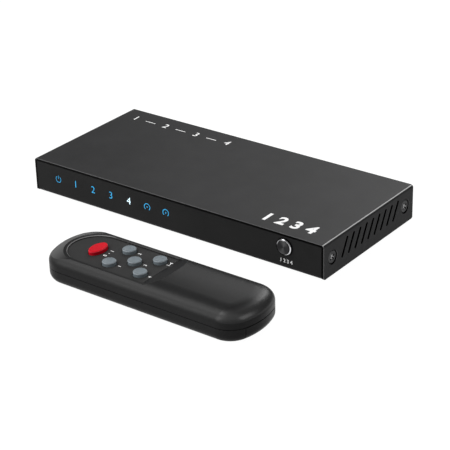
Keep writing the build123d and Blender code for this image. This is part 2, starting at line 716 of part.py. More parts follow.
def parting_groove():
    """The thin groove where the two shells meet."""
    low = PARTING_HEIGHT - PARTING_GAP / 2
    ring = prism(handset_plan(-HANDSET_CORNER / 2), low, low + PARTING_GAP)
    return ring - prism(handset_plan(PARTING_DEPTH), 0, HANDSET_HEIGHT)


def recess_plan(inset, right):
    """The key recess seen from above: round at the nose, square at its other end."""
    radius = RECESS_RADIUS - inset
    outline = [
        Line((right, radius), (RECESS_LEFT, radius)),
        CenterArc((RECESS_LEFT, 0), radius, 90, 180),
        Line((RECESS_LEFT, -radius), (right, -radius)),
        Line((right, -radius), (right, radius)),
    ]
    return make_face(Curve(children=outline).edges())


def ramp_space():
    """What lies above the slope that rises from the recess floor to an arc in the top."""
    start = RECESS_RIGHT - RECESS_RADIUS
    arc_x = RECESS_RIGHT + RAMP_SIDE_REACH
    low = Polyline(
        (start, -HALF_WIDTH), (RECESS_RIGHT, -HALF_WIDTH), (RECESS_RIGHT, HALF_WIDTH), (start, HALF_WIDTH),
        close=True,
    )
    high = [
        Line((start, -HALF_WIDTH), (arc_x, -HALF_WIDTH)),
        ThreePointArc((arc_x, -HALF_WIDTH), (RAMP_END, 0), (arc_x, HALF_WIDTH)),
        Line((arc_x, HALF_WIDTH), (start, HALF_WIDTH)),
        Line((start, HALF_WIDTH), (start, -HALF_WIDTH)),
    ]
    foot = Pos(0, 0, RECESS_FLOOR) * make_face(low.edges())
    crest = Pos(0, 0, HANDSET_HEIGHT) * make_face(Curve(children=high).edges())
    space = loft([foot, crest], ruled=True)
    rim = block(start, RAMP_END, -HALF_WIDTH, HALF_WIDTH, 0, RIM_HEIGHT)
    return space - (rim - block(start, RAMP_END, -RECESS_RADIUS, RECESS_RADIUS, 0, HANDSET_HEIGHT))


def rim_space():
    """What lies above the flat rim beside the recess."""
    return block(RECESS_LEFT, RECESS_RIGHT, -HANDSET_WIDTH, HANDSET_WIDTH, RIM_HEIGHT, HANDSET_HEIGHT * 2)


def nose_space():
    """What lies above the flat band round the recess's end and the slope outside it."""
    band = RECESS_RADIUS + NOSE_BAND
    far = HALF_LENGTH
    fall = (far - band) * math.tan(math.radians(NOSE_SLOPE))
    profile = Polyline(
        (0, RIM_HEIGHT), (band, RIM_HEIGHT), (far, RIM_HEIGHT - fall),
        (far, HANDSET_HEIGHT * 2), (0, HANDSET_HEIGHT * 2), close=True,
    )
    cone = revolve(Plane.XZ * make_face(profile.edges()), Axis.Z, 360)
    half = block(-far * 2, 0, -far, far, 0, HANDSET_HEIGHT * 3)
    return Pos(RECESS_LEFT, 0, 0) * (cone & half)


def rim_bevel():
    """The narrow bevel on the upper edge of the recess."""
    low = RIM_HEIGHT - RIM_BEVEL
    foot = Pos(0, 0, low) * recess_plan(0, RECESS_RIGHT)
    crest = Pos(0, 0, RIM_HEIGHT) * recess_plan(-RIM_BEVEL, RECESS_RIGHT)
    return loft([foot, crest], ruled=True)


# Handset keys
def key_outline(name, margin):
    """A key's outline, widened by a margin."""
    if name == "power_key":
        return Pos(POWER_KEY_X, 0) * Ellipse(POWER_KEY_WIDTH / 2 + margin, POWER_KEY_LENGTH / 2 + margin)
    x, y = ROUND_KEYS[name]
    return Pos(x, y) * Circle(KEY_RADIUS + margin)


def make_key(name):
    """A cap, dished if it is round, with the flange under the shelf that keeps it in."""
    cap = prism(key_outline(name, 0), FLANGE_TOP, KEY_TOP)
    cap = fillet(cap.edges().group_by(Axis.Z)[-1], KEY_ROUNDING)
    if name in ROUND_KEYS:
        x, y = ROUND_KEYS[name]
        cap -= Pos(x, y, KEY_TOP - KEY_DISH_DEPTH + KEY_DISH_RADIUS) * Sphere(KEY_DISH_RADIUS)
    return cap + prism(key_outline(name, KEY_FLANGE_WIDTH), KEY_BOTTOM, FLANGE_TOP)


def make_key_panel():
    panel = prism(recess_plan(KEY_GAP / 2, RECESS_RIGHT - KEY_GAP / 2), PANEL_BOTTOM, RECESS_FLOOR)
    for name in KEY_NAMES:
        panel -= prism(key_outline(name, KEY_GAP), 0, HANDSET_HEIGHT)
    return panel


def make_key_mat():
    return prism(recess_plan(MAT_INSET, RECESS_RIGHT), MAT_BOTTOM, MAT_TOP)


# Handset shells
def shell_inside():
    """The hollow of the top shell, under the roof of the hump and under the key shelf."""
    roof = domed_block(SHELL_WALL, HANDSET_HEIGHT - SHELL_WALL, SHOULDER_WIDTH - SHELL_WALL,
                       SHOULDER_HEIGHT - SHELL_WALL / 2)
    over_shelf = block(-HANDSET_LENGTH, RAMP_END + SHELL_WALL, -HANDSET_WIDTH, HANDSET_WIDTH,
                       SHELF_BOTTOM, HANDSET_HEIGHT)
    return roof - over_shelf


def window_block(gap):
    """The box that the infrared window fills in the nose."""
    half = WINDOW_WIDTH / 2 + gap
    return block(-HANDSET_LENGTH, -HALF_LENGTH + WINDOW_DEPTH + gap, -half, half,
                 PARTING_HEIGHT, WINDOW_TOP + gap)


def make_top_shell():
    shell = domed_block(0, HANDSET_HEIGHT, SHOULDER_WIDTH, SHOULDER_HEIGHT)
    shell -= block(-HANDSET_LENGTH, HANDSET_LENGTH, -HANDSET_WIDTH, HANDSET_WIDTH, -1, PARTING_HEIGHT)
    shell -= parting_groove()
    shell -= nose_space()
    shell -= rim_space()
    shell -= prism(recess_plan(0, RECESS_RIGHT), PANEL_BOTTOM, HANDSET_HEIGHT)
    shell -= rim_bevel()
    shell -= ramp_space()
    shell -= shell_inside()
    for name in KEY_NAMES:
        shell -= prism(key_outline(name, KEY_GAP), 0, HANDSET_HEIGHT)
    shell -= window_block(HOLE_GAP / 3)
    shell += post(CASE_SCREW_X, 0, PARTING_HEIGHT, HANDSET_HEIGHT - SHELL_WALL, BOSS_RADIUS)
    return shell - post(CASE_SCREW_X, 0, 0, HANDSET_HEIGHT - SHELL_WALL * 2, CASE_SCREW_RADIUS + HOLE_GAP / 3)


def drawer_space():
    """What the battery drawer takes from the end of the bottom shell."""
    seam_half = DRAWER_WIDTH / 2 + DRAWER_SEAM
    front = block(HALF_LENGTH - DRAWER_FRONT_DEPTH - DRAWER_SEAM, HANDSET_LENGTH, -seam_half, seam_half,
                  -1, PARTING_HEIGHT)
    half = DRAWER_WIDTH / 2 + DRAWER_GAP
    tray = block(DRAWER_INNER_END, HALF_LENGTH, -half, half, DRAWER_BOTTOM - DRAWER_GAP, PARTING_HEIGHT)
    return front + tray


def make_bottom_shell():
    shell = keeled_block(0, 0, PARTING_HEIGHT, KEEL_RADIUS)
    inside = keeled_block(SHELL_WALL, SHELL_WALL, PARTING_HEIGHT + 1, KEEL_RADIUS - SHELL_WALL)
    boss = post(CASE_SCREW_X, 0, SHELL_WALL / 2, PARTING_HEIGHT, BOSS_RADIUS + BOSS_SKIRT)
    shell = shell - inside + boss
    shell -= parting_groove()
    shell -= drawer_space()
    shell -= post(CASE_SCREW_X, 0, -1, PARTING_HEIGHT + 1, CASE_SCREW_RADIUS + HOLE_GAP)
    return shell - post(CASE_SCREW_X, 0, -1, CASE_SCREW_SEAT, CASE_SCREW_HEAD_RADIUS + HOLE_GAP)


def make_case_screw():
    head_bottom = CASE_SCREW_SEAT - CASE_SCREW_HEAD_HEIGHT
    head = post(CASE_SCREW_X, 0, head_bottom, CASE_SCREW_SEAT, CASE_SCREW_HEAD_RADIUS)
    shank = post(CASE_SCREW_X, 0, CASE_SCREW_SEAT, PARTING_HEIGHT + CASE_SCREW_GRIP, CASE_SCREW_RADIUS)
    cross = cross_recess(CASE_SCREW_CROSS_SPAN, CASE_SCREW_HEAD_HEIGHT / 2)
    return head + shank - Pos(CASE_SCREW_X, 0, head_bottom) * cross


# Battery drawer and cell
def make_drawer():
    half = DRAWER_WIDTH / 2
    skin = keeled_block(0, 0, PARTING_HEIGHT - PARTING_GAP, KEEL_RADIUS)
    front = skin & block(HALF_LENGTH - DRAWER_FRONT_DEPTH, HANDSET_LENGTH, -half, half, -1, PARTING_HEIGHT)
    tray = block(DRAWER_INNER_END + DRAWER_GAP, HALF_LENGTH - DRAWER_FRONT_DEPTH / 2, -half, half,
                 DRAWER_BOTTOM, PARTING_HEIGHT - DRAWER_HEADROOM)
    pocket = post(CELL_X, 0, CELL_BOTTOM, HANDSET_HEIGHT, CELL_RADIUS + SLIDE_GAP)
    return front + tray - pocket


def make_cell():
    """A can with the narrower cap of its other pole on top."""
    step = CELL_TOP - CELL_STEP
    can = post(CELL_X, 0, CELL_BOTTOM, step, CELL_RADIUS)
    can = fillet(can.edges().group_by(Axis.Z)[0], CELL_STEP)
    return can + post(CELL_X, 0, step, CELL_TOP, CELL_RADIUS - CELL_CAP_INSET)


def make_contacts():
    """Two spring strips under the board that reach down to the cell."""
    low = CELL_TOP + CONTACT_GAP
    x0 = CELL_X - CONTACT_LENGTH / 2
    x1 = CELL_X + CONTACT_LENGTH / 2
    strips = []
    for side in (-1, 1):
        y0 = side * CONTACT_SPACING / 2 - CONTACT_WIDTH / 2
        y1 = y0 + CONTACT_WIDTH
        foot = block(x0, x1, y0, y1, low, low + CONTACT_THICKNESS)
        riser = block(x1 - CONTACT_THICKNESS, x1, y0, y1, low, HANDSET_BOARD_BOTTOM)
        strips.append(foot + riser)
    return strips


# Handset board, emitter and window
def make_handset_board():
    board = prism(handset_plan(HANDSET_BOARD_INSET), HANDSET_BOARD_BOTTOM, HANDSET_BOARD_TOP)
    board -= block(-HANDSET_LENGTH, -HALF_LENGTH + HANDSET_BOARD_NOSE_GAP, -HANDSET_WIDTH, HANDSET_WIDTH,
                   0, HANDSET_HEIGHT)
    return board - post(CASE_SCREW_X, 0, 0, HANDSET_HEIGHT, BOSS_RADIUS + HOLE_GAP * 2)


def make_handset_chip():
    return chip(CASE_SCREW_X + HANDSET_CHIP_STEP, KEY_STEP_Y, HANDSET_CHIP_WIDTH, HANDSET_CHIP_DEPTH,
                HANDSET_CHIP_HEIGHT, HANDSET_BOARD_TOP)


def make_window():
    skin = domed_block(0, HANDSET_HEIGHT, SHOULDER_WIDTH, SHOULDER_HEIGHT)
    half = WINDOW_HOLLOW / 2
    hollow = block(-HALF_LENGTH + WINDOW_WALL, 0, -half, half, 0, HANDSET_HEIGHT)
    return (skin & window_block(0)) - hollow - parting_groove()


def make_emitter():
    z = HANDSET_BOARD_TOP - HANDSET_BOARD_THICKNESS / 2
    dome_x = -HALF_LENGTH + EMITTER_TIP + EMITTER_RADIUS
    body = bar(0, z, dome_x, -HALF_LENGTH + EMITTER_BACK, EMITTER_RADIUS)
    return body + Pos(dome_x, 0, z) * Sphere(EMITTER_RADIUS)


def save_case():
    save("top_cover", make_cover())
    save("bottom_tray", make_tray())
    save("front_film", make_film())
    save("cover_screws", *make_cover_screws())
    save("rubber_feet", *make_feet())
    save("button_bezel", make_bezel())
    save("select_button", make_button())
    save("switch_plunger", make_plunger())
    save("push_switch", make_push_switch())
    save("indicator_lamps", *make_lamps())
    save("lamp_holder", make_lamp_holder())
    save("infrared_receiver", make_receiver())


def save_board():
    save("main_board", make_board())
    save("board_standoffs", *make_standoffs())
    save("board_screws", *make_board_screws())
    save("switch_chip", chip(0, 0, CHIP_SIZE, CHIP_SIZE, CHIP_HEIGHT))
    save("thermal_pad", chip(0, 0, CHIP_SIZE, CHIP_SIZE, PAD_HEIGHT, BOARD_TOP + CHIP_HEIGHT))
    save("heat_sink", make_heat_sink())
    save("microcontroller", chip(CONTROLLER_X, CONTROLLER_Y, CONTROLLER_SIZE, CONTROLLER_SIZE,
                                 SMALL_CHIP_HEIGHT))
    save("port_chips", *make_port_chips())
    save("voltage_regulator", chip(POWER_X - REGULATOR_STEP, REGULATOR_Y, REGULATOR_WIDTH, REGULATOR_DEPTH,
                                   REGULATOR_HEIGHT))
    save("power_inductor", chip(POWER_X - INDUCTOR_STEP, INDUCTOR_Y, INDUCTOR_SIZE, INDUCTOR_SIZE,
                                INDUCTOR_HEIGHT))
    save("capacitors", *make_capacitors())
    save("clock_crystal", chip(CRYSTAL_X, CRYSTAL_Y, CRYSTAL_WIDTH, CRYSTAL_DEPTH, CRYSTAL_HEIGHT))


def save_sockets():
    save("input_socket_shells", *[make_socket_shell(x) for x in INPUT_PLACES])
    save("input_socket_tongues", *[make_socket_tongue(x) for x in INPUT_PLACES])
    save("output_socket_shell", make_socket_shell(OUTPUT_PLACE))
    save("output_socket_tongue", make_socket_tongue(OUTPUT_PLACE))
    save("power_socket_body", make_power_body())
    save("power_socket_pin", make_power_pin())


def save_handset():
    place = Pos(HANDSET_X, HANDSET_Y, 0)
    save("handset_top_shell", place * make_top_shell())
    save("handset_bottom_shell", place * make_bottom_shell())
    save("battery_drawer", place * make_drawer())
    save("coin_cell", place * make_cell())
    save("key_panel", place * make_key_panel())
    save("key_mat", place * make_key_mat())
    for name in KEY_NAMES:
        save(name, place * make_key(name))
    save("handset_board", place * make_handset_board())
    save("handset_chip", place * make_handset_chip())
    save("infrared_emitter", place * make_emitter())
    save("infrared_window", place * make_window())
    save("battery_contacts", *[place * strip for strip in make_contacts()])
    save("handset_screw", place * make_case_screw())


os.makedirs("parts", exist_ok=True)
save_case()
save_board()
save_sockets()
save_handset()
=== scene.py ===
import math
import bpy
from mathutils import Matrix, Vector


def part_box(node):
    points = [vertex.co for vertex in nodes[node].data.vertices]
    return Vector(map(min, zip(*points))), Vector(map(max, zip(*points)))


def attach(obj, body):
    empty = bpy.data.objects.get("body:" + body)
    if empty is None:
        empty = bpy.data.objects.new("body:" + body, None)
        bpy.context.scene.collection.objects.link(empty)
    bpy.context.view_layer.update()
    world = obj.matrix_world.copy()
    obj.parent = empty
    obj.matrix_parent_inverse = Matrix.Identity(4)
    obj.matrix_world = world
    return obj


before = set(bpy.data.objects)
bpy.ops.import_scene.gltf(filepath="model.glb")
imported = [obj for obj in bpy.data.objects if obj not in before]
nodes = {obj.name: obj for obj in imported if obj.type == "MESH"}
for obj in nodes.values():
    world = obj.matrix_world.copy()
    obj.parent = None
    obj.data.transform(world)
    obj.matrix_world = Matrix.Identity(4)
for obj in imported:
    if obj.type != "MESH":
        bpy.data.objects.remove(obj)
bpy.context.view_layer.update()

MM = 0.001

# The photograph's viewing angle, worked out from the case's straight edges, in degrees and millimetres
CAMERA_AZIMUTH = 37.2864
CAMERA_ELEVATION = 26.4261
CAMERA_ROLL = -1.5145
CAMERA_LENS = 129.56
CAMERA_RIGHT = 2.0282
CAMERA_UP = -9.3359
CAMERA_BACK = 691.2252
SENSOR_WIDTH = 36.0
NEAREST_SEEN = 0.01
FARTHEST_SEEN = 50.0

# Sizes of the object that the finishes and prints follow, in millimetres
FOLD_RADIUS = 1.2
SCREW_INSET = 6.35
SCREW_HEAD_RADIUS = 2.75
SCREW_SINK = 0.3
CHROME_STAND = 0.5
LAMP_COUNT = 7
LAMP_RADIUS = 1.5
CONTACT_PITCH = 0.5


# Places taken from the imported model

def box_mm(node):
    low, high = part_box(node)
    return Vector(low) / MM, Vector(high) / MM


def middle_mm(node):
    low, high = box_mm(node)
    return (low + high) / 2


CASE_LOW, CASE_HIGH = box_mm("top_cover")
FILM_FACE = box_mm("front_film")[0].y
UNDERSIDE = box_mm("bottom_tray")[0].z
BUTTON = middle_mm("button_bezel")
SCREW_Y = CASE_HIGH.y - SCREW_INSET
SCREW_Z = middle_mm("cover_screws").z
HANDSET = middle_mm("handset_bottom_shell")
PANEL_TOP = box_mm("key_panel")[1].z


# Node graphs

MIX_SHARE = 0
MIX_FIRST_COLOUR = 6
MIX_SECOND_COLOUR = 7
MIX_RESULT_COLOUR = 2


class Graph:
    """A short way to write a material's nodes."""

    def __init__(self, name):
        self.material = bpy.data.materials.new(name)
        self.material.use_nodes = True
        self.tree = self.material.node_tree
        self.tree.nodes.clear()
        self.output = self.tree.nodes.new("ShaderNodeOutputMaterial")
        self.coordinates = self.tree.nodes.new("ShaderNodeTexCoord")

    def node(self, kind, **settings):
        made = self.tree.nodes.new(kind)
        for key, value in settings.items():
            setattr(made, key, value)
        return made

    def link(self, source, target):
        self.tree.links.new(source, target)

    def feed(self, socket, value):
        if isinstance(value, (int, float)):
            socket.default_value = value
        elif isinstance(value, tuple):
            socket.default_value = (*value, 1.0)
        else:
            self.link(value, socket)

    def math(self, operation, first, second=0.0):
        made = self.node("ShaderNodeMath", operation=operation)
        self.feed(made.inputs[0], first)
        self.feed(made.inputs[1], second)
        return made.outputs["Value"]

    def place(self):
        """X, Y and Z of the point, in millimetres of the resting object."""
        scaled = self.node("ShaderNodeVectorMath", operation="SCALE")
        scaled.inputs["Scale"].default_value = 1 / MM
        self.link(self.coordinates.outputs["Object"], scaled.inputs[0])
        split = self.node("ShaderNodeSeparateXYZ")
        self.link(scaled.outputs["Vector"], split.inputs[0])
        return split.outputs["X"], split.outputs["Y"], split.outputs["Z"]

    def facing(self):
        """X, Y and Z of the surface's own direction."""
        split = self.node("ShaderNodeSeparateXYZ")
        self.link(self.coordinates.outputs["Normal"], split.inputs[0])
        return split.outputs["X"], split.outputs["Y"], split.outputs["Z"]

    def length(self, first, second):
        squares = self.math("ADD", self.math("MULTIPLY", first, first), self.math("MULTIPLY", second, second))
        return self.math("SQRT", squares)

    def noise(self, per_metre, detail=2.0, roughness=0.5, stretch=None):
        made = self.node("ShaderNodeTexNoise")
        made.inputs["Scale"].default_value = per_metre
        made.inputs["Detail"].default_value = detail
        made.inputs["Roughness"].default_value = roughness
        vector = self.coordinates.outputs["Object"]
        if stretch is not None:
            mapping = self.node("ShaderNodeMapping")
            mapping.inputs["Scale"].default_value = stretch
            self.link(vector, mapping.inputs["Vector"])
            vector = mapping.outputs["Vector"]
        self.link(vector, made.inputs["Vector"])
        return made.outputs["Fac"]

    def spread(self, value, low, high, start=0.3, end=0.7):
        made = self.node("ShaderNodeMapRange")
        made.inputs["From Min"].default_value = start
        made.inputs["From Max"].default_value = end
        made.inputs["To Min"].default_value = low
        made.inputs["To Max"].default_value = high
        self.link(value, made.inputs["Value"])
        return made.outputs["Result"]

    def rise(self, value, start, end):
        """0 up to start and 1 from end on."""
        return self.spread(value, 0.0, 1.0, start, end)

    def fall(self, value, start, end):
        """1 up to start and 0 from end on."""
        return self.spread(value, 1.0, 0.0, start, end)

    def band(self, value, start, full, last, end):
        """1 from full to last, and 0 up to start and from end on."""
        return self.math("MULTIPLY", self.rise(value, start, full), self.fall(value, last, end))

    def product(self, first, *others):
        for other in others:
            first = self.math("MULTIPLY", first, other)
        return first

    def mix_colour(self, share, first, second):
        made = self.node("ShaderNodeMix", data_type="RGBA")
        self.feed(made.inputs[MIX_SHARE], share)
        self.feed(made.inputs[MIX_FIRST_COLOUR], first)
        self.feed(made.inputs[MIX_SECOND_COLOUR], second)
        return made.outputs[MIX_RESULT_COLOUR]

    def bump(self, height, depth_mm, before=None):
        made = self.node("ShaderNodeBump")
        made.inputs["Distance"].default_value = depth_mm * MM
        self.link(height, made.inputs["Height"])
        if before is not None:
            self.link(before, made.inputs["Normal"])
        return made.outputs["Normal"]

    def edge_mask(self, radius_mm):
        """1 along the sharp edges of a piece and 0 on its faces."""
        rounded = self.node("ShaderNodeBevel", samples=6)
        rounded.inputs["Radius"].default_value = radius_mm * MM
        shape = self.node("ShaderNodeNewGeometry")
        dot = self.node("ShaderNodeVectorMath", operation="DOT_PRODUCT")
        self.link(rounded.outputs["Normal"], dot.inputs[0])
        self.link(shape.outputs["Normal"], dot.inputs[1])
        return self.spread(dot.outputs["Value"], 1.0, 0.0, 0.75, 0.98)


def grey(level):
    return (level, level, level)


def shade(colour, factor):
    return tuple(min(1.0, c * factor) for c in colour)


# Layers that some finishes add over their ground colour

# Many of these tones are fitted to light and dark places in the photograph that the lamps don't give.
# LEAN is how far a surface faces one way, from -1 to 1: where a tone begins, is full, is last full and ends.

# The folded cover, with painted highlights along its folds and edges and painted shade in its cuts
FOLD_LEAN = (0.26, 0.46, 0.52, 0.71)
FOLD_UP_LEAN = (0.3, 0.5)
EDGE_LEAN = (0.3, 0.45)
PAINTED_DEPTH = (0.0, 0.1)
ROUNDED_END = (2.0, 1.0)
ROUNDED_DEPTH = (0.03, 0.22)
FOLD_HIGHLIGHT_TONE = 0.58
UPRIGHT_HIGHLIGHT_TONE = 0.22
LIP_HIGHLIGHT_TONE = 0.12
CUT_SHADE_TONE = 0.0004


def inside_the_sheet(g):
    """1 on the cut edges and slot walls of the folded cover, 0 on its outer face."""
    x, y, z = g.place()
    across = g.math("MAXIMUM", g.math("SUBTRACT", g.math("ABSOLUTE", x), CASE_HIGH.x - FOLD_RADIUS))
    above = g.math("MAXIMUM", g.math("SUBTRACT", z, CASE_HIGH.z - FOLD_RADIUS))
    depth = g.math("SUBTRACT", FOLD_RADIUS, g.length(across, above))
    rounding = g.spread(g.math("ABSOLUTE", y), *ROUNDED_DEPTH, CASE_HIGH.y - ROUNDED_END[0],
                        CASE_HIGH.y - ROUNDED_END[1])
    return g.rise(g.math("SUBTRACT", depth, rounding), *PAINTED_DEPTH)


def dark_cuts(g, tone):
    """The cut edges and slot walls are almost black, which is painted shade."""
    return g.mix_colour(inside_the_sheet(g), tone, grey(CUT_SHADE_TONE))


def light_folds(g, tone):
    """A lighter tone along the side folds, the upright edges and the top's front and rear edges, which is a
    painted highlight.
    """
    x, y, z = g.facing()
    x = g.math("ABSOLUTE", x)
    y = g.math("ABSOLUTE", y)
    z = g.math("MAXIMUM", z)
    fold = g.math("MULTIPLY", g.band(x, *FOLD_LEAN), g.rise(z, *FOLD_UP_LEAN))
    tone = g.mix_colour(g.rise(g.math("MULTIPLY", z, y), *EDGE_LEAN), tone, grey(LIP_HIGHLIGHT_TONE))
    tone = g.mix_colour(g.rise(g.math("MULTIPLY", x, y), *EDGE_LEAN), tone, grey(UPRIGHT_HIGHLIGHT_TONE))
    return g.mix_colour(fold, tone, grey(FOLD_HIGHLIGHT_TONE))


# The cover screws' heads, with painted highlights and shade, in millimetres from the screw's axis or its face
SPOT_EDGE = (0.75, 0.95)
CROSS_END = (1.6, 1.8)
CROSS_DEPTH = (0.04, 0.1)
RIM_WIDTH = (0.2, 0.45)
SPOT_METAL = 0.8
SPOT_HIGHLIGHT_TONE = 0.8
RIM_HIGHLIGHT_TONE = 0.12
BLACK_TONE = 0.004


def screw_radius(g):
    """How far a point lies from the axis of its cover screw."""
    y, z = g.place()[1:]
    return g.length(g.math("SUBTRACT", g.math("ABSOLUTE", y), SCREW_Y), g.math("SUBTRACT", z, SCREW_Z))


def dark_metal(g):
    """No metal at the screw's middle, where a bright spot is painted as a highlight, and most of it
    elsewhere.
    """
    return g.spread(screw_radius(g), 0.0, SPOT_METAL, *SPOT_EDGE)


def screw_head(g, tone):
    """A lighter rim on the screw's head and a bright spot at the cross's middle, which are painted
    highlights, and a black cross, which is painted shade.
    """
    x = g.place()[0]
    radius = screw_radius(g)
    face = CASE_HIGH.x - SCREW_SINK
    rim = g.rise(radius, SCREW_HEAD_RADIUS - RIM_WIDTH[1], SCREW_HEAD_RADIUS - RIM_WIDTH[0])
    sunk = g.fall(g.math("ABSOLUTE", x), face - CROSS_DEPTH[1], face - CROSS_DEPTH[0])
    cross = g.math("MULTIPLY", sunk, g.fall(radius, *CROSS_END))
    tone = g.mix_colour(rim, tone, grey(RIM_HIGHLIGHT_TONE))
    tone = g.mix_colour(cross, tone, grey(BLACK_TONE))
    return g.mix_colour(g.fall(radius, *SPOT_EDGE), tone, grey(SPOT_HIGHLIGHT_TONE))


# The button and its ring, both with painted reflections. DARK_SIDE is the way to the ring's lower left, in X
# and Z.
DARK_SIDE = (-0.69, -0.725)
DARK_SIDE_START = (1.1, 2.0)
RING_FOOT = 0.05
RING_TOP_LEAN = (0.45, 0.8)
RING_TOP_REFLECTION_TONE = (0.2, 0.2, 0.205)
WEDGE_ANGLE = 78
WEDGE_SHARPNESS = 5.0
WEDGE_HIGHLIGHT_TONE = (0.075, 0.075, 0.076)


def half_dark_ring(g, tone):
    """The bezel's foot is black; its lower left is painted dark and its upper side duller than its right,
    which are painted reflections.
    """
    x, y, z = g.place()
    foot = g.rise(y, FILM_FACE - CHROME_STAND - RING_FOOT, FILM_FACE - CHROME_STAND)
    left = g.math("MULTIPLY", g.math("SUBTRACT", x, BUTTON.x), DARK_SIDE[0])
    low = g.math("MULTIPLY", g.math("SUBTRACT", z, BUTTON.z), DARK_SIDE[1])
    side = g.rise(g.math("ADD", left, low), *DARK_SIDE_START)
    tone = g.mix_colour(g.rise(g.facing()[2], *RING_TOP_LEAN), tone, RING_TOP_REFLECTION_TONE)
    return g.mix_colour(g.math("MAXIMUM", foot, side), tone, grey(BLACK_TONE))


def turned_face(g, tone):
    """Two light wedges across the round face at a fixed angle, which are painted highlights of its fine
    turned rings.
    """
    place = g.place()
    angle = g.math("ARCTAN2", g.math("SUBTRACT", place[2], BUTTON.z), g.math("SUBTRACT", place[0], BUTTON.x))
    along = g.math("ABSOLUTE", g.math("COSINE", g.math("SUBTRACT", angle, math.radians(WEDGE_ANGLE))))
    return g.mix_colour(g.math("POWER", along, WEDGE_SHARPNESS), tone, WEDGE_HIGHLIGHT_TONE)


# The board and the sockets
TRACES_PER_METRE = 260.0
TRACE_EDGE = (0.05, 0.08)
TRACE_TONE = (0.05, 0.26, 0.12)
PADS_PER_METRE = 420.0
PAD_EDGE = (0.14, 0.17)
PAD_TONE = (0.55, 0.42, 0.16)
STRIP_EDGE = (0.0, 0.2)
TONGUE_FACE_LEAN = (0.8, 0.95)
GILT_TONE = (0.75, 0.5, 0.15)


def copper_traces(g, tone):
    """Lighter lines of copper under the solder mask, and bare gilt pads."""
    lines = g.node("ShaderNodeTexVoronoi", feature="DISTANCE_TO_EDGE")
    lines.inputs["Scale"].default_value = TRACES_PER_METRE
    g.link(g.coordinates.outputs["Object"], lines.inputs["Vector"])
    tone = g.mix_colour(g.fall(lines.outputs["Distance"], *TRACE_EDGE), tone, TRACE_TONE)
    pads = g.node("ShaderNodeTexVoronoi")
    pads.inputs["Scale"].default_value = PADS_PER_METRE
    g.link(g.coordinates.outputs["Object"], pads.inputs["Vector"])
    return g.mix_colour(g.fall(pads.outputs["Distance"], *PAD_EDGE), tone, PAD_TONE)


def gilt_contacts(g, tone):
    """The row of thin gilt strips on both faces of a socket's tongue."""
    turns = g.math("MULTIPLY", g.place()[0], 2 * math.pi / CONTACT_PITCH)
    strip = g.rise(g.math("COSINE", turns), *STRIP_EDGE)
    face = g.rise(g.math("ABSOLUTE", g.facing()[2]), *TONGUE_FACE_LEAN)
    return g.mix_colour(g.math("MULTIPLY", strip, face), tone, GILT_TONE)


# The handset. REACH is in millimetres from its middle, and ABOVE is from its key panel.
END_REACH = (34.0, 42.0)
END_LEAN = (0.15, 0.4, 0.9, 0.97)
ENDWARD_LEAN = (0.02, 0.2)
REARWARD_LEAN = (-0.2, 0.15)
END_FAR_COAT = 0.35
SIDE_LEAN = (0.35, 0.62, 0.8, 0.93)
SIDEWAYS_LEAN = (0.2, 0.4)
SIDE_HIGHLIGHT_TONE = 0.034
NOSE_REACH = (-44.0, -34.0)
NOSE_LEAN = (0.88, 0.93, 0.965, 0.975)
NOSE_ABOVE = (-1.75, -1.15)
NOSE_HIGHLIGHT_TONE = 0.1
BEVEL_REACH = (-34.0, -29.0)
BEVEL_ABOVE = (0.25, 0.35)
BEVEL_LEAN = (0.72, 0.8)
BEVEL_HIGHLIGHT_TONE = 0.22
CROWN_WIDTH = 16.0
CROWN_HEIGHT = 0.77


def light_sides(g, tone):
    """A slightly lighter tone on the handset's rounded sides, which is a painted highlight."""
    aside, up = g.facing()[1:]
    sideways = g.rise(g.math("ABSOLUTE", aside), *SIDEWAYS_LEAN)
    return g.mix_colour(g.math("MULTIPLY", g.band(up, *SIDE_LEAN), sideways), tone, grey(SIDE_HIGHLIGHT_TONE))


def glossy_end(g):
    """The strength of the clear coat on the handset's round end, less on its far half."""
    x = g.place()[0]
    endward, rearward, up = g.facing()
    near = g.spread(rearward, 1.0, END_FAR_COAT, *REARWARD_LEAN)
    reach = g.rise(x, HANDSET.x + END_REACH[0], HANDSET.x + END_REACH[1])
    return g.product(g.band(up, *END_LEAN), g.rise(endward, *ENDWARD_LEAN), near, reach)


def light_nose(g, tone):
    """A lighter tone on the nose's slope and on the bevel round the recess, which are painted highlights."""
    place = g.place()
    x = place[0]
    z = place[2]
    up = g.facing()[2]
    end = g.fall(x, HANDSET.x + NOSE_REACH[0], HANDSET.x + NOSE_REACH[1])
    above = g.rise(z, PANEL_TOP + NOSE_ABOVE[0], PANEL_TOP + NOSE_ABOVE[1])
    tone = g.mix_colour(g.product(g.band(up, *NOSE_LEAN), end, above), tone, grey(NOSE_HIGHLIGHT_TONE))
    round_recess = g.fall(x, HANDSET.x + BEVEL_REACH[0], HANDSET.x + BEVEL_REACH[1])
    upper = g.rise(z, PANEL_TOP + BEVEL_ABOVE[0], PANEL_TOP + BEVEL_ABOVE[1])
    return g.mix_colour(g.product(g.fall(up, *BEVEL_LEAN), upper, round_recess), tone, grey(BEVEL_HIGHLIGHT_TONE))


def crowned_top(g):
    """The slight crown across the handset's top, as a height from 0 to 1."""
    across = g.math("MULTIPLY", g.math("SUBTRACT", g.place()[1], HANDSET.y), math.pi / CROWN_WIDTH)
    return g.math("ADD", g.math("MULTIPLY", g.math("COSINE", across), 0.5), 0.5)


# The keys, with painted highlights on their rims
KEY_RIM_LEAN = (0.05, 0.25)
KEY_FACE_LEAN = (0.2, 0.75)
RIM_HIGHLIGHT_GREY = (0.45, 0.49, 0.52)
RIM_HIGHLIGHT_RED = (0.75, 0.06, 0.09)


